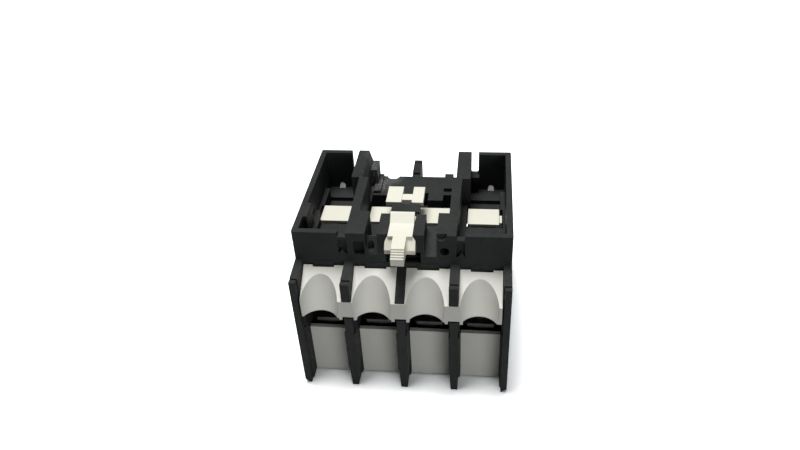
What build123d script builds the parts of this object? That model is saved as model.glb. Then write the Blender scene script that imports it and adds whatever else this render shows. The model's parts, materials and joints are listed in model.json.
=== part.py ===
import math
import os

from build123d import *

os.makedirs("parts", exist_ok=True)

# Poles and overall sizes
pole_count = 4
pole_pitch = 10.75
wall_margin = 0.5
rim_height = 36.5
upper_depth = 32.4
rib_depth = 45.8
panel_depth = 37.8
half_width = pole_count * pole_pitch / 2 + wall_margin
upper_end = upper_depth / 2
rib_end = rib_depth / 2
panel_end = panel_depth / 2
pole_x = [(number - (pole_count - 1) / 2) * pole_pitch for number in range(pole_count)]
rib_x = [(number - pole_count / 2) * pole_pitch for number in range(1, pole_count)]
make_poles = (0, 3)
break_poles = (1, 2)
ends = (-1, 1)
sides = (-1, 1)
through = 5.0

# Heights, measured down from the rim
pocket_depth = 7.0
plate_thickness = 2.85
joint_gap = 0.05
tip_drop = 0.7
strip_height = 6.7
strip_edge_height = 4.3
strip_rise = 4.25
window_height = 6.7
neck_length = 4.4
plate_top = rim_height - pocket_depth
plate_bottom = plate_top - plate_thickness
shell_joint = plate_bottom - joint_gap
tip_height = plate_top - tip_drop
strip_bottom = shell_joint - strip_height
strip_edge = strip_bottom + strip_edge_height
strip_back_top = strip_edge + strip_rise
panel_top = strip_bottom - window_height

# Ribs, walls and floor of the front housing
rib_width = 2.2
rib_top_width = 1.85
neck_width = 1.66
neck_depth = 2.0
neck_bottom = strip_bottom - neck_length
foot_top = 5.5
foot_upper_width = 1.9
foot_lower_width = 1.44
foot_bevel = 0.9
foot_bevel_height = 1.1
wall_bevel = 0.25
floor_bottom = 1.5
floor_thickness = 1.5
floor_top = floor_bottom + floor_thickness
chamber_width = pole_pitch - rib_width
wall_face = pole_x[-1] + chamber_width / 2
channel_half = 6.5
partition = 1.0
chamber_start = channel_half + partition

# Sloping ledges above the ribs
tip_length = 1.0
spine_rise = 0.5
seam_gap = 0.3
tip_start = rib_end - tip_length
ledge_end = tip_start - seam_gap

# Wire funnel strips
strip_gap = 0.25
strip_back = upper_end + strip_gap
bridge_thickness = 1.6
bridge_width = 3.66
bridge_leg = 0.5
bridge_leg_gap = 0.35
bridge_relief = 0.3
side_gap = 0.12
slot_gap = 0.06
notch_gap = 0.1
slope = (strip_back_top - strip_edge) / (rib_end - strip_back)

# Terminals, clamps and screws
screw_inset = 2.0
screw_y = upper_end - screw_inset
thread_radius = 1.75
screw_length = 7.5
head_radius = 2.9
head_height = 2.1
slot_width = 0.9
slot_depth = 0.9
driver_hole_radius = 3.0
driver_hole_margin = 0.1
thread_clearance = 0.03
clamp_clearance = 0.05
clamp_width = 6.8
clamp_depth = 6.4
clamp_thickness = 0.9
clamp_corner = 0.7
clamp_opening = 3.8
terminal_drop = 1.5
terminal_bottom = strip_bottom - terminal_drop
terminal_thickness = 1.0
terminal_width = 6.4
terminal_margin = 3.3
terminal_end = screw_y + terminal_margin
terminal_tip = 4.2
arm_width = 4.4
arm_back = 10.0
arm_drop = 1.5
make_arm_top = shell_joint - arm_drop
bend_radius = 0.6
rest_gap = 0.02
terminal_top = terminal_bottom + terminal_thickness
clamp_top = terminal_bottom - clamp_opening
rail_length = 2.5
rail_height = 1.5

# Contact points
contact_y = 5.6
contact_radius = 1.2
button = 0.18
rivet = 0.6
contact_gap = 0.02

# Sliding contact carrier
slide_clearance = 0.2
carrier_travel = 3.0
beam_thickness = 3.0
spring_space = 6.5
cage_rise = 0.2
cage_top = plate_top + cage_rise
cage_bar = 0.6
cage_width = 6.7
cage_depth = 5.7
cage_leg = 0.8
support_thickness = 1.3
support_depth = 4.0
moving_thickness = 0.8
moving_width = 4.0
moving_length = 14.0
coupling_drop = 1.5
coupling_top = rim_height - coupling_drop
coupling_height = 1.05
break_bottom = terminal_top + button + contact_gap + rivet
make_arm_bottom = make_arm_top - terminal_thickness
make_top = make_arm_bottom - button - contact_gap - carrier_travel - rivet
make_bottom = make_top - moving_thickness
beam_top = make_bottom - spring_space
beam_bottom = beam_top - beam_thickness

# Latch
latch_half = 2.45
latch_clearance = 0.15
latch_height = 2.9
latch_bottom = rim_height - latch_height
wing_half = 3.05
nose_rise = 1.4
nose_height = rim_height + nose_rise
tongue_setback = 0.5
tongue_tip = rib_end - tongue_setback
tongue_half = 1.35
tongue_tip_half = 1.3
latch_spring_y = 12.2
latch_spring_well = 1.15


def block(x0, x1, y0, y1, z0, z1, mode=Mode.ADD):
    with Locations(((x0 + x1) / 2, (y0 + y1) / 2, (z0 + z1) / 2)):
        Box(abs(x1 - x0), abs(y1 - y0), abs(z1 - z0), mode=mode)


def rod(x, y, z0, z1, radius, mode=Mode.ADD):
    with Locations((x, y, (z0 + z1) / 2)):
        Cylinder(radius, z1 - z0, mode=mode)


def profile(points, x0, x1, mode=Mode.ADD):
    # outline in Y and Z, carried from x0 to x1
    with BuildSketch(Plane.YZ.offset(x0)) as outline:
        with BuildLine():
            Polyline(*points, close=True)
        make_face()
    extrude(outline.sketch, amount=x1 - x0, mode=mode)


def plan(points, z0, z1, mode=Mode.ADD):
    # outline in X and Y, carried from z0 to z1
    with BuildSketch(Plane.XY.offset(z0)) as outline:
        with BuildLine():
            Polyline(*points, close=True)
        make_face()
    extrude(outline.sketch, amount=z1 - z0, mode=mode)


def front_view(points, y0, y1, mode=Mode.ADD):
    # outline in X and Z, carried from y0 to y1
    with BuildSketch(Plane.XZ.offset(-y0)) as outline:
        with BuildLine():
            Polyline(*points, close=True)
        make_face()
    extrude(outline.sketch, amount=-(y1 - y0), mode=mode)


def slope_height(depth):
    # top of the funnel strips at a distance from the middle plane
    return strip_edge + slope * (rib_end - depth)


def ledge_height(depth):
    share = (depth - upper_end) / (rib_end - upper_end)
    return plate_top + (tip_height - plate_top) * share


def between_ribs(start, width, z0, z1):
    # everything between the ribs and outside a distance from the middle
    reach = rib_end + through - start
    with BuildSketch(Plane.XY.offset(z0)) as zone:
        with GridLocations(1, 2 * start + reach, 1, 2):
            Rectangle(2 * wall_face, reach)
        with GridLocations(pole_pitch, 1, pole_count - 1, 1):
            Rectangle(width, 2 * (start + reach) + through, mode=Mode.SUBTRACT)
    extrude(zone.sketch, amount=z1 - z0, mode=Mode.SUBTRACT)


# Front housing: side walls, ribs, floor and terminal chambers
floor_end = panel_end - 1.3
with BuildPart() as front_housing:
    profile([(-rib_end, 0), (rib_end, 0), (rib_end, tip_height), (tip_start, tip_height), (tip_start, shell_joint),
             (-tip_start, shell_joint), (-tip_start, tip_height), (-rib_end, tip_height)], -half_width, half_width)
    chamfer(front_housing.edges().filter_by(Axis.Y).group_by(Axis.Z)[0], length=foot_bevel_height,
            length2=foot_bevel)
    # seat of the front cover
    block(-wall_face, wall_face, -floor_end + 1.2, floor_end - 1.2, -1, floor_bottom, Mode.SUBTRACT)
    with BuildSketch(Plane.XY.offset(-1)) as cover_bays:
        with GridLocations(pole_pitch, 0, pole_count, 1):
            Rectangle(chamber_width, 2 * floor_end)
    extrude(cover_bays.sketch, amount=floor_bottom + 1, mode=Mode.SUBTRACT)
    between_ribs(floor_end, rib_width, -1, rim_height)
    # terminal chambers, the carrier's channel and the seats of the funnel strips
    chamber_length = floor_end + 1 - chamber_start
    with BuildSketch(Plane.XY.offset(floor_top)) as chambers:
        with GridLocations(pole_pitch, 2 * chamber_start + chamber_length, pole_count, 2):
            Rectangle(chamber_width, chamber_length)
        Rectangle(2 * wall_face, 2 * channel_half)
    extrude(chambers.sketch, amount=rim_height, mode=Mode.SUBTRACT)
    between_ribs(upper_end + 0.1, rib_top_width, strip_bottom - notch_gap, rim_height)
    # openings over the partitions, where the contact arms pass
    with BuildSketch(Plane.XY.offset(terminal_bottom - rest_gap)) as arm_gaps:
        with GridLocations(pole_pitch, 0, pole_count, 1):
            Rectangle(chamber_width, 2 * chamber_start + 0.2)
    extrude(arm_gaps.sketch, amount=rim_height, mode=Mode.SUBTRACT)
    # rails under the inner ends of the terminal plates
    for end in ends:
        for x in pole_x:
            for side in sides:
                block(x + side * (terminal_width / 2 - 0.25), x + side * (chamber_width / 2 + 0.1),
                      end * (chamber_start - 0.1), end * (chamber_start + rail_length),
                      terminal_bottom - rail_height, terminal_bottom - rest_gap)
    # recesses for the bridges of the strips and the necks below them
    for end in ends:
        block(-wall_face, wall_face, end * (rib_end - bridge_thickness - side_gap), end * (rib_end + 1),
              strip_bottom - notch_gap, strip_edge + notch_gap, Mode.SUBTRACT)
        for x in rib_x:
            for side in sides:
                block(x + side * neck_width / 2, x + side * rib_width, end * (rib_end - neck_depth),
                      end * (rib_end + 1), neck_bottom, strip_bottom, Mode.SUBTRACT)
                front_view([(x + side * foot_upper_width / 2, foot_top), (x + side * rib_width, foot_top),
                            (x + side * rib_width, -0.1), (x + side * foot_lower_width / 2, -0.1)],
                           end * (panel_end + 0.4), end * (rib_end + 0.5), Mode.SUBTRACT)
        for side in sides:
            block(side * (wall_face - 0.1), side * (wall_face + wall_bevel), end * (rib_end - neck_depth),
                  end * (rib_end + 1), neck_bottom, strip_edge + notch_gap, Mode.SUBTRACT)
            plan([(side * (wall_face - 0.1), end * (rib_end - 1.6)), (side * (wall_face + wall_bevel), end * (rib_end - 1.2)),
                  (side * (wall_face + wall_bevel), end * (rib_end + 0.5)), (side * (wall_face - 0.1), end * (rib_end + 0.5))],
                 0, rim_height, Mode.SUBTRACT)
    # the rib under the latch tongue is low and follows the slope of the funnels
    profile([(-upper_end - 0.1, rim_height + 1), (-upper_end - 0.1, slope_height(upper_end + 0.1)),
             (-rib_end - 1, slope_height(rib_end + 1)), (-rib_end - 1, rim_height + 1)],
            -rib_width, rib_width, Mode.SUBTRACT)
    # tip of the far middle rib, raised to the ledge above it
    block(-rib_top_width / 2, rib_top_width / 2, tip_start, rib_end, tip_height - 0.1, plate_top + spine_rise)
    # holes for the screwdriver
    with BuildSketch(Plane.XY.offset(floor_bottom - 0.5)) as driver_holes:
        with GridLocations(pole_pitch, 2 * screw_y, pole_count, 2):
            Circle(driver_hole_radius + driver_hole_margin)
    extrude(driver_holes.sketch, amount=floor_thickness + 1, mode=Mode.SUBTRACT)
front_housing.part.label = "front_housing"
export_step(front_housing.part, "parts/front_housing.step")

# Rear housing: plate, rim, pockets and latch guides
rim_wall = 1.25
rim_corner = 0.35
rim_face = half_width - rim_wall
rim_end_face = upper_end - rim_wall
thick_wall_outer = 13.1
thick_wall_inner = 10.05
thin_wall_outer = 11.35
thin_wall_front = 11.0
thin_wall_inner = 9.3
wall_step_y = 4.6
cheek_inner = 7.1
cheek_outer = 10.8
cheek_back = 8.5
back_slot_outer = 14.7
web_height = 1.8
slot_bottom = plate_top + web_height
slot_corner = 0.4
slot_web_depth = 2.8
window_outer = 12.7
window_depth = 0.8
window_bottom = plate_top + web_height
window_top = rim_height - 1.6
window_web_top = rim_height - 1.0
shelf_top = plate_bottom + 0.35
shelf_front = 10.4
tub_floor = plate_bottom - 0.65
tub_bottom = tub_floor - 0.55
opening_front = -3.6
opening_back = 3.2
opening_inner = 12.5
opening_outer = 20.3
recess_outer = 19.8
middle_front = -3.3
pit_floor = plate_bottom + 0.55
vent_x = 17.7
vent_radius = 0.9
vent_height = shelf_top + 0.6
sight_hole_x = 8.65
sight_hole_z = rim_height - 3.9
sight_hole_radius = 0.95
crossbar_left = -2.75
crossbar_right = 3.1
crossbar_bottom = rim_height - 1.5
crossbar_front = 8.2
crossbar_back = 5.6
guide_outer = 4.65
guide_back = 9.1
guide_inner = latch_half + latch_clearance
tab_width = 4.3
tab_bottom = plate_top - 1.6
tab_top = plate_top - 0.3
tab_reach = 0.2
tub_gap = 0.1
bed_top = rim_height - 3.5
bed_front = rim_height - 5.3
mouth_top = rim_height - 4.3
ledge_reach = 19.0
ledge_inner = 19.65

with BuildPart() as rear_housing:
    profile([(-ledge_end, plate_bottom), (ledge_end, plate_bottom), (ledge_end, ledge_height(ledge_end)),
             (upper_end, plate_top), (upper_end, rim_height), (-upper_end, rim_height), (-upper_end, plate_top),
             (-ledge_end, ledge_height(ledge_end))], -half_width, half_width)
    fillet(rear_housing.edges().filter_by(Axis.Z).group_by(Axis.Z)[-1], radius=rim_corner)
    between_ribs(upper_end, rib_top_width, plate_bottom - 1, rim_height)
    profile([(-upper_end, rim_height), (-upper_end, slope_height(upper_end)),
             (-rib_end, slope_height(rib_end)), (-rib_end, rim_height)], -rib_width, rib_width, Mode.SUBTRACT)
    # raised ledge over the far middle rib
    block(-rib_top_width / 2, rib_top_width / 2, upper_end - 0.2, ledge_end, plate_bottom, plate_top + spine_rise)
    # side pockets, stepped where the inner walls grow thicker
    for side in sides:
        plan([(side * rim_face, rim_end_face), (side * thick_wall_outer, rim_end_face),
              (side * thick_wall_outer, wall_step_y), (side * thin_wall_outer, wall_step_y),
              (side * thin_wall_front, -rim_end_face), (side * rim_face, -rim_end_face)],
             plate_top, rim_height + 1, Mode.SUBTRACT)
    # middle recess between the inner walls and the cheeks, open at both ends
    plan([(thick_wall_inner, upper_end + 1), (thick_wall_inner, wall_step_y), (thin_wall_inner, wall_step_y),
          (thin_wall_inner, -cheek_back), (cheek_inner, -cheek_back), (cheek_inner, -upper_end - 1),
          (-cheek_inner, -upper_end - 1), (-cheek_inner, -cheek_back), (-thin_wall_inner, -cheek_back),
          (-thin_wall_inner, wall_step_y), (-thick_wall_inner, wall_step_y), (-thick_wall_inner, upper_end + 1)],
         plate_top, rim_height + 1, Mode.SUBTRACT)
    # bevelled upper edge of the left inner wall
    front_view([(-thick_wall_inner + 0.5, rim_height + 0.5), (-thick_wall_inner - 0.72, rim_height + 0.5),
                (-thick_wall_inner - 0.72, rim_height), (-thick_wall_inner, rim_height - 2.4),
                (-thick_wall_inner + 0.5, rim_height - 2.4)], wall_step_y, upper_end + 1, Mode.SUBTRACT)
    for side in sides:
        # slots in the back wall, with a low web at their foot
        block(side * (thick_wall_outer - 0.3), side * (back_slot_outer + 0.2), upper_end - slot_web_depth, upper_end,
              plate_top - 0.1, slot_bottom)
        slot_width_back = back_slot_outer - thick_wall_outer
        slot_middle = side * (thick_wall_outer + back_slot_outer) / 2
        with BuildSketch(Plane.XZ.offset(-upper_end - 1)) as back_slot:
            with Locations((slot_middle, (slot_bottom + rim_height + through) / 2)):
                RectangleRounded(slot_width_back, rim_height + through - slot_bottom, slot_corner)
        extrude(back_slot.sketch, amount=rim_wall + 1.1, mode=Mode.SUBTRACT)
        # windows in the front wall beside the cheeks
        block(side * thin_wall_front, side * window_outer, -upper_end - 0.5, -rim_end_face + 0.5,
              window_web_top, rim_height + 1, Mode.SUBTRACT)
        block(side * (cheek_outer + 0.1), side * window_outer, -upper_end - 0.5, -upper_end + window_depth,
              window_bottom, window_top, Mode.SUBTRACT)
        front_view([(side * (window_outer + 0.1), window_bottom - 0.2), (side * 11.2, window_bottom - 0.2),
                    (side * 12.0, window_bottom + 1.1)], -upper_end, -upper_end + 0.8)
    # tabs over the back edge of the funnel strips
    for x in pole_x:
        for end in ends:
            block(x - tab_width / 2, x + tab_width / 2, end * (upper_end - 0.2), end * (upper_end + tab_reach),
                  tab_bottom, tab_top)
    # tubs under the openings, clear of the ribs below
    for side in sides:
        outer_rib = side * rib_x[-1]
        block(outer_rib + side * (rib_width / 2 + tub_gap), side * (wall_face - tub_gap), opening_back, upper_end,
              tub_bottom, plate_bottom + 0.1)
        block(outer_rib - side * (rib_width / 2 + tub_gap), side * (rib_width / 2 + tub_gap), opening_back, 9.9,
              tub_bottom, plate_bottom + 0.1)
    block(-rib_width, rib_width, opening_back, channel_half - tub_gap, tub_bottom, plate_bottom + 0.1)
    for side in sides:
        block(side * thick_wall_outer, side * rim_face, shelf_front, rim_end_face, shelf_top, plate_top + 0.1,
              Mode.SUBTRACT)
        block(side * opening_inner, side * recess_outer, opening_back - 0.1, shelf_front, tub_floor,
              plate_top + 0.1, Mode.SUBTRACT)
        block(side * opening_inner, side * opening_outer, opening_front, opening_back, tub_bottom - 1,
              plate_top + 0.1, Mode.SUBTRACT)
        # round vent in the back wall, flat where the shelf meets it
        with BuildSketch(Plane.XZ.offset(-upper_end - 1)) as vent:
            with Locations((side * vent_x, vent_height)):
                Circle(vent_radius)
            with Locations((side * vent_x, shelf_top - vent_radius)):
                Rectangle(4 * vent_radius, 2 * vent_radius, mode=Mode.SUBTRACT)
        extrude(vent.sketch, amount=rim_wall + 1.5, mode=Mode.SUBTRACT)
    # middle opening over the coupling and the inner cages, and the hollow behind it
    block(-thin_wall_inner, thin_wall_inner, middle_front, opening_back, tub_bottom - 1, plate_top + 0.1,
          Mode.SUBTRACT)
    plan([(-thin_wall_inner, opening_back - 0.1), (-thin_wall_inner, 8.0), (-4.8, 8.0), (-4.8, 6.3), (1.6, 6.3),
          (1.6, 9.3), (3.5, 9.3), (3.5, 6.3), (6.9, 6.3), (6.9, 8.6), (thin_wall_inner, 8.6),
          (thin_wall_inner, opening_back - 0.1)], tub_floor, plate_top + 0.1, Mode.SUBTRACT)
    block(-cheek_inner + 0.1, -guide_outer, -13.5, -cheek_back, pit_floor, plate_top + 0.1, Mode.SUBTRACT)
    # guides of the latch and the sloped beds beside them
    for side in sides:
        block(side * guide_inner, side * guide_outer, -upper_end, -guide_back, plate_top - 0.1, rim_height)
    profile([(-cheek_back, plate_top - 0.1), (-cheek_back, bed_top), (-upper_end, bed_front),
             (-upper_end, plate_top - 0.1)], guide_outer - 0.1, cheek_inner + 0.1)
    profile([(-13.6, plate_top - 0.1), (-13.6, bed_top + 1.2), (-upper_end, bed_front + 0.1),
             (-upper_end, plate_top - 0.1)], -cheek_inner - 0.1, -guide_outer + 0.1)
    block(-3.2, 3.9, -upper_end - 1, -13.0, plate_top, mouth_top, Mode.SUBTRACT)
    block(-2.4, 3.9, -upper_end + 0.7, -13.9, pit_floor, plate_top + 0.1, Mode.SUBTRACT)
    rod(-6.2, -15.0, bed_front + 0.4, rim_height, 0.7, Mode.SUBTRACT)
    # crossbar over the arm of the latch
    block(crossbar_left, crossbar_right, -crossbar_front, -crossbar_back, crossbar_bottom, rim_height)
    block(crossbar_left, -latch_half + 0.15, -crossbar_front, -crossbar_back, plate_top - 0.1, rim_height - 0.1)
    block(latch_half - 0.15, crossbar_right, -crossbar_front, -crossbar_back, plate_top - 0.1, rim_height - 0.1)
    # blocks and step at the back of the middle recess
    block(-9.2, -7.6, 8.8, upper_end, plate_top - 0.1, plate_top + 0.6)
    block(6.9, 8.9, 10.0, upper_end, plate_top - 0.1, plate_top + 0.9)
    block(-thick_wall_inner - 0.4, -8.5, 11.9, upper_end, plate_top - 0.1, rim_height - 2.7)
    rod(-5.4, upper_end + 0.2, plate_bottom - 1, plate_top + 1, 1.4, Mode.SUBTRACT)
    # holes and hollows in the latch side
    with Locations((sight_hole_x, -upper_end, sight_hole_z)):
        Cylinder(sight_hole_radius, 4.0, rotation=(90, 0, 0), mode=Mode.SUBTRACT)
    with Locations((7.95, -upper_end, rim_height - 0.1)):
        Cylinder(1.2, 1.4, rotation=(90, 0, 0), mode=Mode.SUBTRACT)
    block(-9.55, -7.4, -upper_end - 1, -upper_end + 1.5, window_bottom, rim_height - 1.9, Mode.SUBTRACT)
    # snap lug and ledges on the left pocket wall
    block(-rim_face - 0.1, -19.9, -10.8, -6.0, plate_top - 0.1, rim_height)
    block(-rim_face - 0.1, -ledge_inner, -4.5, -1.1, plate_top - 0.1, slot_bottom)
    block(-rim_face - 0.1, -ledge_reach, -rim_end_face - 0.1, -3.7, plate_top - 0.1, slot_bottom)
rear_housing.part.label = "rear_housing"
export_step(rear_housing.part, "parts/rear_housing.step")

# Front cover: plate with the driver holes and the panels between the ribs
cover_bottom = 0.3
cover_end = floor_end - 1.3
panel_thickness = 1.0
panel_width = chamber_width - 2 * side_gap
inlay_length = 35.0
inlay_width = 9.0
inlay_depth = 0.4
with BuildPart() as front_cover:
    with BuildSketch(Plane.XY.offset(cover_bottom)) as cover_plate:
        Rectangle(2 * (wall_face - side_gap), 2 * cover_end)
        with GridLocations(pole_pitch, 0, pole_count, 1):
            Rectangle(panel_width, panel_depth)
        with GridLocations(pole_pitch, 2 * screw_y, pole_count, 2):
            Circle(driver_hole_radius, mode=Mode.SUBTRACT)
    extrude(cover_plate.sketch, amount=floor_bottom - cover_bottom)
    with BuildSketch(Plane.XY.offset(cover_bottom)) as panels:
        with GridLocations(pole_pitch, panel_depth - panel_thickness, pole_count, 2):
            Rectangle(panel_width, panel_thickness)
    extrude(panels.sketch, amount=panel_top - cover_bottom)
    with BuildSketch(Plane.XY.offset(cover_bottom - 0.5)) as inlay:
        Rectangle(inlay_length, inlay_width)
    extrude(inlay.sketch, amount=inlay_depth + 0.5, mode=Mode.SUBTRACT)
front_cover.part.label = "front_cover"
export_step(front_cover.part, "parts/front_cover.step")

# Wire funnel strips, with a leaning cone cut for each wire
funnel_shift = -0.3
funnel_low_radius = 4.15
funnel_high_radius = 3.65
funnel_low_axis = rib_end + 2.33
funnel_high_axis = strip_back + 5.07
funnel_high_z = strip_back_top + 0.05
funnel_run = math.hypot(funnel_low_axis - funnel_high_axis, funnel_high_z - strip_bottom)
funnel_tilt = math.degrees(math.atan2(funnel_low_axis - funnel_high_axis, funnel_high_z - strip_bottom))
funnel_extra = 0.2
funnel_change = (funnel_low_radius - funnel_high_radius) * funnel_extra


def strip(end):
    strip_half = wall_face - side_gap
    profile([(end * strip_back, strip_bottom), (end * strip_back, slope_height(strip_back)),
             (end * rib_end, strip_edge), (end * rib_end, strip_bottom)], -strip_half, strip_half)
    # slots for the ribs, closed in front by the bridges
    slot_end = rib_end - bridge_thickness
    for x in rib_x:
        half_slot = rib_top_width / 2 + slot_gap
        block(x - half_slot, x + half_slot, end * (strip_back - 1), end * slot_end, strip_bottom - 1, rim_height,
              Mode.SUBTRACT)
        block(x - half_slot, x + half_slot, end * (slot_end - 1), end * (rib_end + 1), strip_edge, rim_height,
              Mode.SUBTRACT)
        leg_inner = neck_width / 2 + bridge_leg_gap
        block(x - leg_inner, x + leg_inner, end * (slot_end - 1), end * (rib_end + 1), strip_bottom - 1,
              strip_bottom + bridge_relief, Mode.SUBTRACT)
        for side in sides:
            block(x + side * leg_inner, x + side * bridge_width / 2, end * slot_end, end * rib_end,
                  strip_bottom - bridge_leg, strip_bottom + 0.1)
    middle = (end * (funnel_low_axis + funnel_high_axis) / 2, (strip_bottom + funnel_high_z) / 2)
    for x in pole_x:
        with Locations(Location((x + funnel_shift, *middle), (end * funnel_tilt, 0, 0))):
            Cone(funnel_low_radius + funnel_change, funnel_high_radius - funnel_change,
                 funnel_run * (1 + 2 * funnel_extra), mode=Mode.SUBTRACT)
        block(x - tab_width / 2 - 0.1, x + tab_width / 2 + 0.1, end * (strip_back - 1), end * (strip_back + 0.35),
              tab_bottom, rim_height, Mode.SUBTRACT)


with BuildPart() as terminal_side_funnels:
    strip(-1)
terminal_side_funnels.part.label = "front_side_funnels"
export_step(terminal_side_funnels.part, "parts/front_side_funnels.step")

with BuildPart() as far_side_funnels:
    strip(1)
far_side_funnels.part.label = "back_side_funnels"
export_step(far_side_funnels.part, "parts/back_side_funnels.step")

# Contact carrier: beam, a cage for each pole, middle column and coupling head
beam_half = wall_face - 0.3
coupling_left = (-4.6, -1.3)
coupling_right = (0.9, 3.35)
coupling_front = -2.75
coupling_back = 3.3
coupling_neck = (-1.6, 0.65)
with BuildPart() as carrier:
    block(-beam_half, beam_half, -channel_half + slide_clearance, channel_half - slide_clearance,
          beam_bottom, beam_top)
    with BuildSketch(Plane.XZ.offset(-cage_depth / 2)) as cages:
        for x in pole_x:
            with Locations((x, (beam_top + cage_top) / 2)):
                Rectangle(cage_width, cage_top - beam_top + 0.2)
            with Locations((x, (beam_top + cage_top) / 2 - cage_bar)):
                Rectangle(cage_width - 2 * cage_leg, cage_top - beam_top, mode=Mode.SUBTRACT)
    extrude(cages.sketch, amount=cage_depth)
    with BuildSketch(Plane.XZ.offset(-support_depth / 2)) as supports:
        for number, x in enumerate(pole_x):
            if number in break_poles:
                support = break_bottom - support_thickness / 2
            else:
                support = make_top + rest_gap + support_thickness / 2
            with Locations((x, support)):
                Rectangle(cage_width - cage_leg, support_thickness)
    extrude(supports.sketch, amount=support_depth)
    block(-1.6, 1.4, -2.6, 2.6, beam_top - 0.5, plate_top + 2)
    block(-1.4, 1.0, -1.6, 0.65, plate_top + 1.5, coupling_top - coupling_height + 0.1)
    for pad in (coupling_left, coupling_right):
        block(pad[0], pad[1], coupling_front, coupling_back, coupling_top - coupling_height, coupling_top)
    block(coupling_left[1] - 0.1, coupling_right[0] + 0.1, coupling_neck[0], coupling_neck[1],
          coupling_top - coupling_height, coupling_top - 0.15)
    # guide lug beside the outer right cage
    block(pole_x[-1] + cage_width / 2 - 0.1, pole_x[-1] + cage_width / 2 + 0.65, -0.8, 1.9, cage_top - 5.7,
          cage_top - 0.9)
carrier.part.label = "contact_carrier"
export_step(carrier.part, "parts/contact_carrier.step")

# Latch with its nose, wings, tongue and ribbed grip
latch_back = 8.6
nose_front = 10.7
nose_back = 10.3
ramp_front = 12.5
wing_gap = 0.1
wing_thickness = 0.45
wing_reach = 1.9
wing_top = rim_height - 0.3
wing_low = rim_height - 3.9
grip_length = 1.8
grip_start = tongue_tip - grip_length
grip_pitch = 0.42
groove_width = 0.24
groove_depth = 0.25
grip_drop = 1.3
wing_start = upper_end + wing_gap
with BuildPart() as latch:
    profile([(-latch_back, latch_bottom), (-latch_back, rim_height - 0.9), (-nose_back, rim_height - 0.9),
             (-nose_back, nose_height), (-nose_front, nose_height), (-ramp_front, rim_height),
             (-wing_start - wing_thickness, rim_height), (-wing_start - wing_thickness, latch_bottom)],
            -latch_half, latch_half)
    block(-latch_half + 0.35, latch_half - 0.35, -latch_back - 0.1, -6.2, latch_bottom, crossbar_bottom - 0.1)
    profile([(-wing_start, wing_top), (-wing_start - wing_reach, wing_top - 2.1),
             (-wing_start - wing_reach, wing_low + 0.6), (-wing_start, wing_low)], -wing_half, wing_half)
    for side in sides:
        front_view([(side * latch_half, wing_top + 0.1), (side * (wing_half + 0.1), wing_top + 0.1),
                    (side * (wing_half + 0.1), wing_top - 1.2)], -wing_start - wing_reach - 0.1, -wing_start + 0.1,
                   Mode.SUBTRACT)
    plan([(-tongue_half, -wing_start), (tongue_half, -wing_start), (tongue_tip_half, -grip_start),
          (tongue_tip_half, -tongue_tip), (-tongue_tip_half, -tongue_tip), (-tongue_tip_half, -grip_start)],
         latch_bottom, rim_height)
    profile([(-grip_start, rim_height + 0.1), (-grip_start, rim_height), (-tongue_tip, rim_height - grip_drop),
             (-tongue_tip - 0.2, rim_height - grip_drop), (-tongue_tip - 0.2, rim_height + 0.1)],
            -tongue_half - 1, tongue_half + 1, Mode.SUBTRACT)
    for step in range(4):
        y = grip_start + 0.2 + grip_pitch * step
        z = rim_height - grip_drop * (y - grip_start) / (tongue_tip - grip_start)
        block(-tongue_half - 1, tongue_half + 1, -y - groove_width / 2, -y + groove_width / 2,
              z - groove_depth, rim_height + 1, Mode.SUBTRACT)
    rod(0, -latch_spring_y, latch_bottom - 0.1, latch_bottom + latch_spring_well, 1.5, Mode.SUBTRACT)
latch.part.label = "latch"
export_step(latch.part, "parts/latch.step")


def spring(x, y, z0, z1, radius, wire, turns):
    # coil of straight chords, flat sided wire
    steps = 8
    rise = z1 - z0 - 2 * wire
    points = []
    for number in range(turns * steps + 1):
        angle = 2 * math.pi * number / steps
        points.append((x + radius * math.cos(angle), y + radius * math.sin(angle),
                       z0 + wire + rise * number / (turns * steps)))
    with BuildPart() as coil:
        with BuildLine() as path:
            Polyline(*points)
        with BuildSketch(Plane(origin=path.line @ 0, z_dir=path.line % 0)) as section:
            RegularPolygon(wire, 6)
        sweep(section.sketch, path=path.line, transition=Transition.RIGHT)
    return coil.part


# Springs
contact_spring_radius = 1.15
contact_wire = 0.22
return_spring_radius = 1.2
return_wire = 0.25
contact_turns = 4
return_turns = 6
latch_turns = 3
spring_gap = 0.05
for number, x in enumerate(pole_x):
    if number in break_poles:
        low = break_bottom + moving_thickness + spring_gap
        high = cage_top - cage_bar - spring_gap
    else:
        low = beam_top + spring_gap
        high = make_bottom - spring_gap
    piece = spring(x, 0, low, high, contact_spring_radius, contact_wire, contact_turns)
    piece.label = f"contact_spring_{number + 1}"
    export_step(piece, f"parts/contact_spring_{number + 1}.step")

for side, name in ((-1, "left"), (1, "right")):
    piece = spring(side * rib_x[-1], 0, beam_top + spring_gap, plate_bottom - spring_gap, return_spring_radius,
                   return_wire, return_turns)
    piece.label = f"return_spring_{name}"
    export_step(piece, f"parts/return_spring_{name}.step")

latch_spring = spring(0, -latch_spring_y, plate_top + spring_gap, latch_bottom + latch_spring_well,
                      contact_spring_radius, contact_wire, latch_turns)
latch_spring.label = "latch_spring"
export_step(latch_spring, "parts/latch_spring.step")

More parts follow.
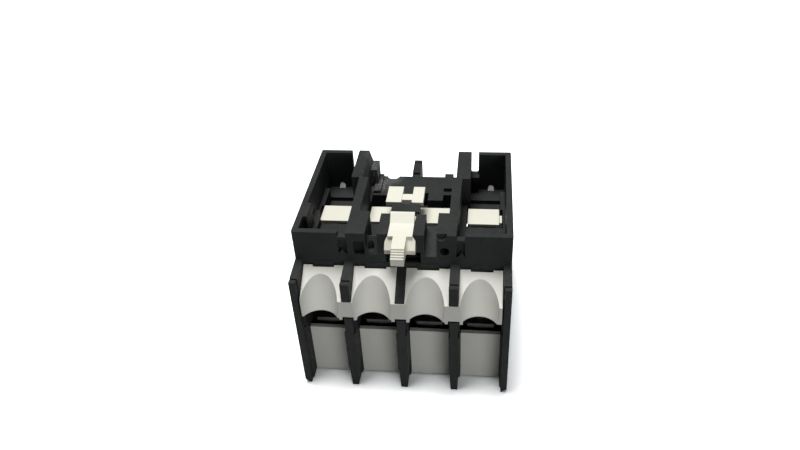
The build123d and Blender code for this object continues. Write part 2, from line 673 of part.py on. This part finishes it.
# Moving contacts: a strip with a rivet at each end
for number, x in enumerate(pole_x):
    if number in break_poles:
        strip_low = break_bottom
        rivet_low = break_bottom - rivet
    else:
        strip_low = make_bottom
        rivet_low = make_top - 0.1
    with BuildPart() as moving:
        with BuildSketch(Plane.XY.offset(strip_low)) as contact_strip:
            with Locations((x, 0)):
                Rectangle(moving_width, moving_length)
        extrude(contact_strip.sketch, amount=moving_thickness)
        for end in ends:
            rod(x, end * contact_y, rivet_low, rivet_low + rivet + 0.1, contact_radius)
    moving.part.label = f"moving_contact_{number + 1}"
    export_step(moving.part, f"parts/moving_contact_{number + 1}.step")

# Fixed contacts, clamps and terminal screws
head_top = clamp_top - clamp_thickness
head_bottom = head_top - head_height
for end, name in ((-1, "front"), (1, "back")):
    for number, x in enumerate(pole_x):
        with BuildPart() as fixed:
            if number in break_poles:
                profile([(end * terminal_tip, terminal_bottom), (end * terminal_end, terminal_bottom),
                         (end * terminal_end, terminal_top), (end * terminal_tip, terminal_top)],
                        x - terminal_width / 2, x + terminal_width / 2)
                rod(x, end * contact_y, terminal_top - 0.1, terminal_top + button, contact_radius)
            else:
                leg_front = arm_back - terminal_thickness
                with BuildSketch(Plane.YZ.offset(x - terminal_width / 2)) as bent_strip:
                    with BuildLine():
                        Polyline((end * terminal_end, terminal_bottom), (end * leg_front, terminal_bottom),
                                 (end * leg_front, make_arm_bottom), (end * terminal_tip, make_arm_bottom),
                                 (end * terminal_tip, make_arm_top), (end * arm_back, make_arm_top),
                                 (end * arm_back, terminal_top), (end * terminal_end, terminal_top), close=True)
                    make_face()
                extrude(bent_strip.sketch, amount=terminal_width)
                bends = fixed.edges().filter_by(Axis.X).sort_by(lambda edge: abs(edge.center().Y))
                corners = [edge for edge in bends
                           if (abs(edge.center().Y) - leg_front) ** 2 + (edge.center().Z - terminal_bottom) ** 2 < 0.01
                           or (abs(edge.center().Y) - arm_back) ** 2 + (edge.center().Z - make_arm_top) ** 2 < 0.01]
                fillet(corners, radius=bend_radius)
                rod(x, end * contact_y, make_arm_bottom - button, make_arm_bottom + 0.1, contact_radius)
            for side in sides:
                block(x + side * arm_width / 2, x + side * terminal_width, end * (terminal_tip - 1),
                      end * (arm_back if number in make_poles else chamber_start + 1), terminal_bottom - 1,
                      make_arm_top + 1, Mode.SUBTRACT)
            rod(x, end * screw_y, terminal_bottom - 1, terminal_top + 1, thread_radius + thread_clearance,
                Mode.SUBTRACT)
        fixed.part.label = f"fixed_contact_{name}_{number + 1}"
        export_step(fixed.part, f"parts/fixed_contact_{name}_{number + 1}.step")

        with BuildPart() as clamp:
            with BuildSketch(Plane.XY.offset(head_top)) as washer:
                with Locations((x, end * screw_y)):
                    Rectangle(clamp_width, clamp_depth)
                    chamfer(washer.vertices(), length=clamp_corner)
                    Circle(thread_radius + clamp_clearance, mode=Mode.SUBTRACT)
            extrude(washer.sketch, amount=clamp_thickness)
        clamp.part.label = f"clamp_{name}_{number + 1}"
        export_step(clamp.part, f"parts/clamp_{name}_{number + 1}.step")

        with BuildPart() as screw:
            with BuildSketch(Plane(origin=(x, end * screw_y, 0), x_dir=(1, 0, 0), z_dir=(0, -1, 0))) as half:
                with BuildLine():
                    Polyline((0, head_bottom), (head_radius - 0.3, head_bottom), (head_radius, head_bottom + 0.3),
                             (head_radius, head_top), (thread_radius, head_top),
                             (thread_radius, head_top + screw_length - 0.4),
                             (thread_radius - 0.4, head_top + screw_length), (0, head_top + screw_length), close=True)
                make_face()
            revolve(half.sketch, axis=Axis((x, end * screw_y, 0), (0, 0, 1)))
            block(x - slot_width / 2, x + slot_width / 2, end * screw_y - head_radius, end * screw_y + head_radius,
                  head_bottom - 0.1, head_bottom + slot_depth, Mode.SUBTRACT)
            block(x - 2.0, x + 2.0, end * screw_y - slot_width / 2, end * screw_y + slot_width / 2,
                  head_bottom - 0.1, head_bottom + slot_depth, Mode.SUBTRACT)
        screw.part.label = f"terminal_screw_{name}_{number + 1}"
        export_step(screw.part, f"parts/terminal_screw_{name}_{number + 1}.step")
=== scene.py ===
import json
import math

import bmesh
import bpy
from mathutils import Matrix, Vector


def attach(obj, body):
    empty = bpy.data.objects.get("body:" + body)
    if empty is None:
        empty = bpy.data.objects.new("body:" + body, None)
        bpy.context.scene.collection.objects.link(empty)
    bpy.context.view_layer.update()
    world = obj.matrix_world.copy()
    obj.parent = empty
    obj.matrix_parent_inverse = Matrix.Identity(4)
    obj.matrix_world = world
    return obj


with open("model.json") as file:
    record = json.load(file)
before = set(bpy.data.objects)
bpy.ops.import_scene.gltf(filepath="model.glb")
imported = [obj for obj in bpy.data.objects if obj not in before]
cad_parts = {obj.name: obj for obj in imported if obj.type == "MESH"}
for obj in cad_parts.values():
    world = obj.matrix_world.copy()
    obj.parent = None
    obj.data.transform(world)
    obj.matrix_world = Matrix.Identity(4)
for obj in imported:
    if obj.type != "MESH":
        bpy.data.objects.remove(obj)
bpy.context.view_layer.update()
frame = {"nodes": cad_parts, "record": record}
nodes = frame["nodes"]
scene = bpy.context.scene
scene.view_settings.view_transform = "Standard"


# Camera, solved from the straight edges in the photograph
PHOTO_WIDTH_PX = 800.0
SENSOR_WIDTH_MM = 36.0
FOCAL_PX = 703.798
YAW = math.radians(-8.302)
PITCH = math.radians(36.009)
ROLL = math.radians(3.399)
EYE = Vector((0.016024, -0.125188, 0.118917))
NEAREST = 0.01
FARTHEST = 20.0


def make_camera():
    forward = Vector((math.sin(YAW) * math.cos(PITCH),
                      math.cos(YAW) * math.cos(PITCH),
                      -math.sin(PITCH)))
    level = Vector((math.cos(YAW), -math.sin(YAW), 0.0))
    down = forward.cross(level)
    right = level * math.cos(ROLL) + down * math.sin(ROLL)
    lower = -level * math.sin(ROLL) + down * math.cos(ROLL)
    data = bpy.data.cameras.new("camera")
    data.sensor_fit = "HORIZONTAL"
    data.sensor_width = SENSOR_WIDTH_MM
    data.lens = FOCAL_PX * SENSOR_WIDTH_MM / PHOTO_WIDTH_PX
    data.clip_start = NEAREST
    data.clip_end = FARTHEST
    made = bpy.data.objects.new("camera", data)
    scene.collection.objects.link(made)
    rotation = Matrix((right, -lower, -forward)).transposed().to_4x4()
    made.matrix_world = Matrix.Translation(EYE) @ rotation
    return made


scene.camera = make_camera()


# Materials
class Nodes:
    """A material's node tree, built around one Principled shader."""

    def __init__(self, name):
        self.material = bpy.data.materials.new(name)
        self.material.use_nodes = True
        self.tree = self.material.node_tree
        self.tree.nodes.clear()
        output = self.tree.nodes.new("ShaderNodeOutputMaterial")
        self.shader = self.tree.nodes.new("ShaderNodeBsdfPrincipled")
        self.link(self.shader.outputs[0], output.inputs[0])
        self.coords = self.tree.nodes.new("ShaderNodeTexCoord")
        self.geometry = self.tree.nodes.new("ShaderNodeNewGeometry")

    def link(self, source, target):
        self.tree.links.new(source, target)

    def put(self, value, target):
        """Links a socket to an input, or sets the input to a value."""
        if isinstance(value, bpy.types.NodeSocket):
            self.link(value, target)
        elif isinstance(value, tuple):
            target.default_value = (*value, 1.0)
        else:
            target.default_value = value

    def node(self, kind, **values):
        """A new node. A value goes to the input of its name, or else to the node itself."""
        made = self.tree.nodes.new(kind)
        for key, value in values.items():
            if key in made.inputs:
                made.inputs[key].default_value = value
            else:
                setattr(made, key, value)
        return made

    def noise(self, scale, detail, rough, stretch=None):
        made = self.node("ShaderNodeTexNoise", Scale=scale, Detail=detail, Roughness=rough)
        place = self.coords.outputs["Object"]
        if stretch:
            mapping = self.node("ShaderNodeMapping", Scale=stretch)
            self.link(place, mapping.inputs["Vector"])
            place = mapping.outputs[0]
        self.link(place, made.inputs["Vector"])
        return made.outputs["Fac"]

    def grey(self, source, low, high, start, end):
        """Low where the source is at start or before it, high where it is at end or past it."""
        made = self.node("ShaderNodeMapRange")
        made.inputs["From Min"].default_value = start
        made.inputs["From Max"].default_value = end
        made.inputs["To Min"].default_value = low
        made.inputs["To Max"].default_value = high
        self.link(source, made.inputs["Value"])
        return made.outputs[0]

    def mix(self, factor, first, second):
        """First colour where the factor is 0, second where it is 1."""
        made = self.node("ShaderNodeMix", data_type="RGBA")
        factor_input, first_input, second_input = made.inputs[0], made.inputs[6], made.inputs[7]
        self.put(factor, factor_input)
        self.put(first, first_input)
        self.put(second, second_input)
        return made.outputs[2]

    def times(self, first, second):
        made = self.node("ShaderNodeMath", operation="MULTIPLY")
        self.put(first, made.inputs[0])
        self.put(second, made.inputs[1])
        return made.outputs[0]

    def bump(self, height, strength, distance, under=None):
        made = self.node("ShaderNodeBump", Strength=strength, Distance=distance)
        self.link(height, made.inputs["Height"])
        if under is not None:
            self.link(under, made.inputs["Normal"])
        return made.outputs[0]

    def rounded(self, radius):
        """The normal of edges rounded by a radius."""
        return self.node("ShaderNodeBevel", samples=6, Radius=radius).outputs[0]

    def edges(self, rounded_normal):
        """1 near edges, 0 on flats."""
        turned, flat = 0.80, 0.995
        cosine = self.node("ShaderNodeVectorMath", operation="DOT_PRODUCT")
        self.link(rounded_normal, cosine.inputs[0])
        self.link(self.geometry.outputs["Normal"], cosine.inputs[1])
        return self.grey(cosine.outputs["Value"], 1.0, 0.0, turned, flat)

    def near(self, place, reach, softness):
        """1 around a place on the part, 0 away from it."""
        away = self.node("ShaderNodeVectorMath", operation="DISTANCE")
        self.link(self.coords.outputs["Object"], away.inputs[0])
        away.inputs[1].default_value = place
        return self.grey(away.outputs["Value"], 1.0, 0.0, reach - softness, reach + softness)

    def upward(self):
        """1 on level faces, 0 on walls and slopes steeper than 60 degrees."""
        parts = self.node("ShaderNodeSeparateXYZ")
        self.link(self.geometry.outputs["Normal"], parts.inputs[0])
        return self.grey(parts.outputs["Z"], 0.0, 1.0, 0.5, 1.0)


# Noises of the plastics and metals, scales in cells per metre
GRAIN = dict(scale=9000.0, detail=2.0, rough=0.6)
FLOW = dict(scale=140.0, detail=4.0, rough=0.55)
CLOUD = dict(scale=900.0, detail=3.0, rough=0.6)
# noise that breaks up the painted highlight along edges
EDGE_HIGHLIGHT_BREAKUP = dict(scale=1500.0, detail=3.0, rough=0.6)
# noise of the painted highlight streaks
HIGHLIGHT_STREAK_NOISE = dict(scale=2200.0, detail=4.0, rough=0.65, stretch=(1.0, 1.0, 0.25))
DUST = dict(scale=1100.0, detail=6.0, rough=0.7)
ROLLING = dict(scale=2500.0, detail=3.0, rough=0.6)
TARNISH = dict(scale=700.0, detail=4.0, rough=0.6)
DUST_COLOUR = (0.34, 0.33, 0.30)
# colour of the painted highlight streaks
STREAK_HIGHLIGHT_COLOUR = (0.21, 0.215, 0.21)
EDGE_RADIUS = 0.00018
GRAIN_DEPTH = 0.00003
FLOW_DEPTH = 0.0001
ROLLING_DEPTH = 0.00002


def moulded_plastic(name, colour, light, dark, roughness, edge_highlight_colour, edge_highlight_share, shine, dust,
                    highlight_streaks=()):
    """Moulded plastic: eroded grain, flow marks, painted highlights along edges, dust and
    painted highlight streaks at given places.
    """
    n = Nodes(name)
    flow = n.noise(**FLOW)
    cloud = n.noise(**CLOUD)
    base = n.mix(n.grey(flow, 0.0, 1.0, 0.35, 0.68), colour, light)
    base = n.mix(n.grey(cloud, 0.0, 0.3, 0.55, 0.75), base, dark)
    soft_edge = n.rounded(EDGE_RADIUS)
    # Painted highlight: edges are lightened towards the edge colour in noisy patches, where
    # rounded edges catch the light
    highlight_breakup = n.grey(n.noise(**EDGE_HIGHLIGHT_BREAKUP), 0.15, edge_highlight_share, 0.4, 0.7)
    base = n.mix(n.times(n.edges(soft_edge), highlight_breakup), base, edge_highlight_colour)
    # Painted highlight: light streaks around the given places, where that face of the block
    # catches the light
    for place, reach, softness, share in highlight_streaks:
        streaked = n.grey(n.noise(**HIGHLIGHT_STREAK_NOISE), 0.1, share, 0.42, 0.62)
        base = n.mix(n.times(n.near(place, reach, softness), streaked), base, STREAK_HIGHLIGHT_COLOUR)
    settled = n.grey(n.noise(**DUST), 0.0, dust, 0.52, 0.78)
    base = n.mix(n.times(n.upward(), settled), base, DUST_COLOUR)
    n.link(base, n.shader.inputs["Base Color"])
    n.link(n.grey(cloud, roughness - 0.07, roughness + 0.08, 0.3, 0.7),
           n.shader.inputs["Roughness"])
    surface = n.bump(flow, 0.12, FLOW_DEPTH, soft_edge)
    surface = n.bump(n.noise(**GRAIN), 0.35, GRAIN_DEPTH, surface)
    n.link(surface, n.shader.inputs["Normal"])
    n.shader.inputs["Specular IOR Level"].default_value = shine
    return n.material


def metal(name, colour, dark, roughness, stretch):
    """Rolled or drawn metal: fine lines along it and tarnished patches."""
    n = Nodes(name)
    lines = n.noise(**ROLLING, stretch=stretch)
    tarnished = n.grey(n.noise(**TARNISH), 0.0, 0.7, 0.4, 0.75)
    n.link(n.mix(tarnished, colour, dark), n.shader.inputs["Base Color"])
    n.link(n.grey(lines, roughness - 0.08, roughness + 0.14, 0.3, 0.7),
           n.shader.inputs["Roughness"])
    n.link(n.bump(lines, 0.25, ROLLING_DEPTH), n.shader.inputs["Normal"])
    n.shader.inputs["Metallic"].default_value = 1.0
    return n.material


# Place, reach, softness and share of the painted highlight streaks on the block at the back of
# the left bar, standing in for its lit face
LEFT_BLOCK_HIGHLIGHT_STREAKS = (((-0.0083, 0.0122, 0.0310), 0.0026, 0.0012, 0.9),
                     ((-0.0098, 0.0150, 0.0345), 0.0022, 0.0012, 0.55),
                     ((-0.0054, 0.0150, 0.0295), 0.0020, 0.0010, 0.5))

# The edge colours below are painted highlights along edges
charcoal = moulded_plastic(
    "charcoal_plastic", colour=(0.028, 0.031, 0.0305), light=(0.035, 0.038, 0.038),
    dark=(0.020, 0.0225, 0.022), roughness=0.56, edge_highlight_colour=(0.105, 0.11, 0.108),
    edge_highlight_share=0.96, shine=0.12, dust=0.06, highlight_streaks=LEFT_BLOCK_HIGHLIGHT_STREAKS)
cream = moulded_plastic(
    "cream_plastic", colour=(0.80, 0.795, 0.73), light=(0.84, 0.835, 0.78),
    dark=(0.73, 0.72, 0.65), roughness=0.48, edge_highlight_colour=(0.88, 0.875, 0.83),
    edge_highlight_share=0.8, shine=0.35, dust=0.05)
ivory = moulded_plastic(
    "ivory_plastic", colour=(0.82, 0.805, 0.69), light=(0.85, 0.84, 0.745),
    dark=(0.75, 0.73, 0.60), roughness=0.42, edge_highlight_colour=(0.90, 0.885, 0.82),
    edge_highlight_share=0.8, shine=0.35, dust=0.06)
# The brass colour is darkened far below real brass: painted shade, so the terminals in the deep
# wire windows look dark
brass = metal("stamped_brass", colour=(0.075, 0.056, 0.028), dark=(0.035, 0.026, 0.014),
              roughness=0.62, stretch=(1.0, 6.0, 1.0))
# The zinc colour is darkened far below real zinc plate: painted shade, so the clamps in the wire
# windows look dark
zinc = metal("zinc_plated_steel", colour=(0.13, 0.13, 0.125), dark=(0.06, 0.06, 0.06),
             roughness=0.50, stretch=(1.0, 1.0, 5.0))
wire = metal("spring_wire", colour=(0.22, 0.22, 0.22), dark=(0.10, 0.10, 0.10),
             roughness=0.35, stretch=(1.0, 1.0, 8.0))

by_slot = {"charcoal_plastic": charcoal, "cream_plastic": cream, "ivory_plastic": ivory,
           "contact_brass": brass, "zinc_plated_steel": zinc, "spring_steel": wire}
slot_of = {part["node"]: part["material_slot"] for part in frame["record"]["subparts"]}
for name, node in nodes.items():
    node.data.materials.clear()
    node.data.materials.append(by_slot[slot_of[name]])


# Hook ends of the far funnels, which show in the two vents
HOOK_X = 0.0177
HOOK_HALF_WIDTH = 0.00072
HOOK_HEIGHT = 0.0012
HOOK_BOTTOM = 0.02704
HOOK_BACK = 0.0166
HOOK_FRONT = 0.01435
HOOK_LEAN = 0.55
HOOK_SQUARENESS = 0.8
ARCH_STEPS = 14


def hook(name, x):
    """A wedge with an arched outline, whose front leans back towards its top."""
    arch = []
    for step in range(ARCH_STEPS + 1):
        angle = math.radians(step * 180 / ARCH_STEPS)
        arch.append((x + HOOK_HALF_WIDTH * math.cos(angle),
                     HOOK_BOTTOM + HOOK_HEIGHT * math.sin(angle) ** HOOK_SQUARENESS))
    mesh = bmesh.new()
    back = [mesh.verts.new((a, HOOK_BACK, z)) for a, z in arch]
    front = [mesh.verts.new((a, HOOK_FRONT + HOOK_LEAN * (z - HOOK_BOTTOM), z)) for a, z in arch]
    for step in range(len(arch)):
        follow = (step + 1) % len(arch)
        mesh.faces.new((back[step], back[follow], front[follow], front[step]))
    mesh.faces.new(front)
    mesh.faces.new(tuple(reversed(back)))
    bmesh.ops.recalc_face_normals(mesh, faces=mesh.faces)
    data = bpy.data.meshes.new(name)
    mesh.to_mesh(data)
    mesh.free()
    data.materials.append(cream)
    made = bpy.data.objects.new(name, data)
    scene.collection.objects.link(made)
    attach(made, "housing")


hook("funnel_hook_left", -HOOK_X)
hook("funnel_hook_right", HOOK_X)


# Floor
FLOOR_RADIUS = 0.34
FLOOR_POINTS = 72
FLOOR_BOUNCE = (0.17, 0.17, 0.17)
FLOOR_SEEN = (0.92, 0.935, 0.95)


def pale_stage(name, bounce, seen):
    """Its own colour for the bounce light, and near white with its shadows where it is seen.

    The camera sees the colour twice over, and gloss and glass see it once.
    """
    made = bpy.data.materials.new(name)
    made.use_nodes = True
    tree = made.node_tree
    tree.nodes.clear()
    output = tree.nodes.new("ShaderNodeOutputMaterial")
    path = tree.nodes.new("ShaderNodeLightPath")

    def matt(colour):
        shader = tree.nodes.new("ShaderNodeBsdfDiffuse")
        shader.inputs["Color"].default_value = (*colour, 1.0)
        return shader.outputs[0]

    def choose(factor, first, second):
        shader = tree.nodes.new("ShaderNodeMixShader")
        tree.links.new(factor, shader.inputs[0])
        tree.links.new(first, shader.inputs[1])
        tree.links.new(second, shader.inputs[2])
        return shader.outputs[0]

    twice = tree.nodes.new("ShaderNodeAddShader")
    tree.links.new(matt(seen), twice.inputs[0])
    tree.links.new(matt(seen), twice.inputs[1])
    surface = choose(path.outputs["Is Glossy Ray"], matt(bounce), matt(seen))
    surface = choose(path.outputs["Is Transmission Ray"], surface, matt(seen))
    surface = choose(path.outputs["Is Camera Ray"], surface, twice.outputs[0])
    tree.links.new(surface, output.inputs[0])
    return made


floor_edge = []
for step in range(FLOOR_POINTS):
    angle = math.radians(step * 360 / FLOOR_POINTS)
    floor_edge.append((FLOOR_RADIUS * math.cos(angle), FLOOR_RADIUS * math.sin(angle), 0.0))
floor_mesh = bpy.data.meshes.new("floor")
floor_mesh.from_pydata(floor_edge, [], [tuple(range(FLOOR_POINTS))])
floor_mesh.materials.append(pale_stage("pale_floor", FLOOR_BOUNCE, FLOOR_SEEN))
floor = bpy.data.objects.new("floor", floor_mesh)
scene.collection.objects.link(floor)


# Studio light: a faint even surround, seen as white by the camera, and two soft lamps
SURROUND_COLOUR = (0.95, 0.97, 1.0)
SURROUND_STRENGTH = 0.10
WHITE = (1.0, 1.0, 1.0)
MIDDLE = Vector((0.0, 0.0, 0.02))


def make_world():
    made = bpy.data.worlds.new("studio")
    made.use_nodes = True
    tree = made.node_tree
    tree.nodes.clear()
    output = tree.nodes.new("ShaderNodeOutputWorld")
    path = tree.nodes.new("ShaderNodeLightPath")
    mix = tree.nodes.new("ShaderNodeMixShader")
    tree.links.new(path.outputs["Is Camera Ray"], mix.inputs[0])
    for place, colour, strength in ((1, SURROUND_COLOUR, SURROUND_STRENGTH), (2, WHITE, 1.0)):
        background = tree.nodes.new("ShaderNodeBackground")
        background.inputs["Color"].default_value = (*colour, 1.0)
        background.inputs["Strength"].default_value = strength
        tree.links.new(background.outputs[0], mix.inputs[place])
    tree.links.new(mix.outputs[0], output.inputs[0])
    return made


def lamp(name, place, width, height, power, colour):
    """A rectangular lamp that faces the middle of the part."""
    data = bpy.data.lights.new(name, "AREA")
    data.shape = "RECTANGLE"
    data.size = width
    data.size_y = height
    data.energy = power
    data.color = colour
    made = bpy.data.objects.new(name, data)
    scene.collection.objects.link(made)
    turned = (MIDDLE - Vector(place)).to_track_quat("-Z", "Y").to_matrix().to_4x4()
    made.matrix_world = Matrix.Translation(Vector(place)) @ turned


scene.world = make_world()
lamp("key", place=(-0.05, 0.06, 0.62), width=0.26, height=0.26, power=3.9,
     colour=(1.0, 0.995, 0.98))
lamp("fill", place=(0.32, -0.54, 0.13), width=0.4, height=0.2, power=0.92,
     colour=(0.97, 0.985, 1.0))
